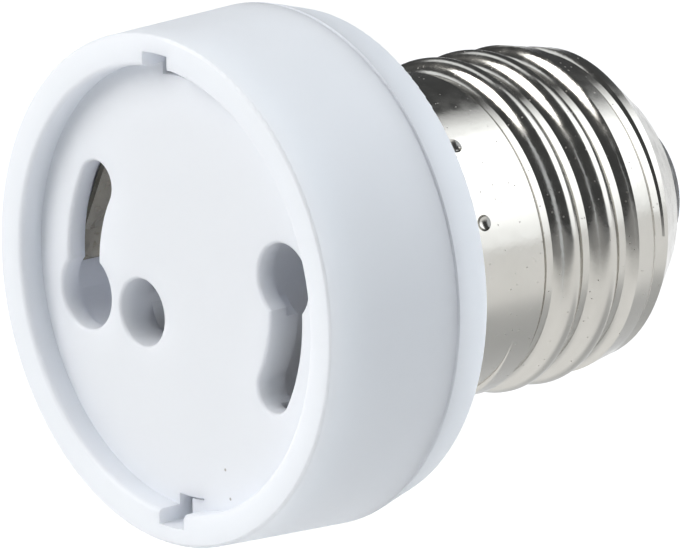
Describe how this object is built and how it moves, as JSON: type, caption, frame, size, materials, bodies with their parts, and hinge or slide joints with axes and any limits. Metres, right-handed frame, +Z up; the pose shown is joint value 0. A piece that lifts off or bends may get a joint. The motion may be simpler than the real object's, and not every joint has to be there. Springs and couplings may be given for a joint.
{
  "type": "lamp socket adapter",
  "caption": "White plastic adapter with a twist-lock two-pin lamp socket in its recessed front face and a plated Edison screw cap with a black insulator behind.",
  "frame": {"origin": "on the axis, in the plane of the recessed face", "axes": "+Y along the axis from the front face to the screw cap's tip, +Z up through the upper snap window, +X to the right seen from the front"},
  "size_m": [0.04, 0.0477, 0.04],
  "materials": {
    "white_plastic": "satin moulded",
    "nickel_plate": "bright nickel plate on brass",
    "contact_bronze": "dull spring strip",
    "black_insulator": "dark moulded insulator",
    "solder": "dull solder",
    "copper": "bare wire",
    "live_sleeve": "wire insulation",
    "neutral_sleeve": "wire insulation"
  },
  "bodies": {
    "root": {"front_housing": "white_plastic", "back_cover": "white_plastic", "screw_shell": "nickel_plate", "base_insulator": "black_insulator", "centre_contact": "nickel_plate", "tip_solder": "solder", "live_contact_strip": "contact_bronze", "neutral_contact_strip": "contact_bronze", "live_strip_solder": "solder", "neutral_strip_solder": "solder", "live_wire_core": "copper", "live_wire_sleeve": "live_sleeve", "neutral_wire_core": "copper", "neutral_wire_sleeve": "neutral_sleeve"}
  },
  "joints": []
}
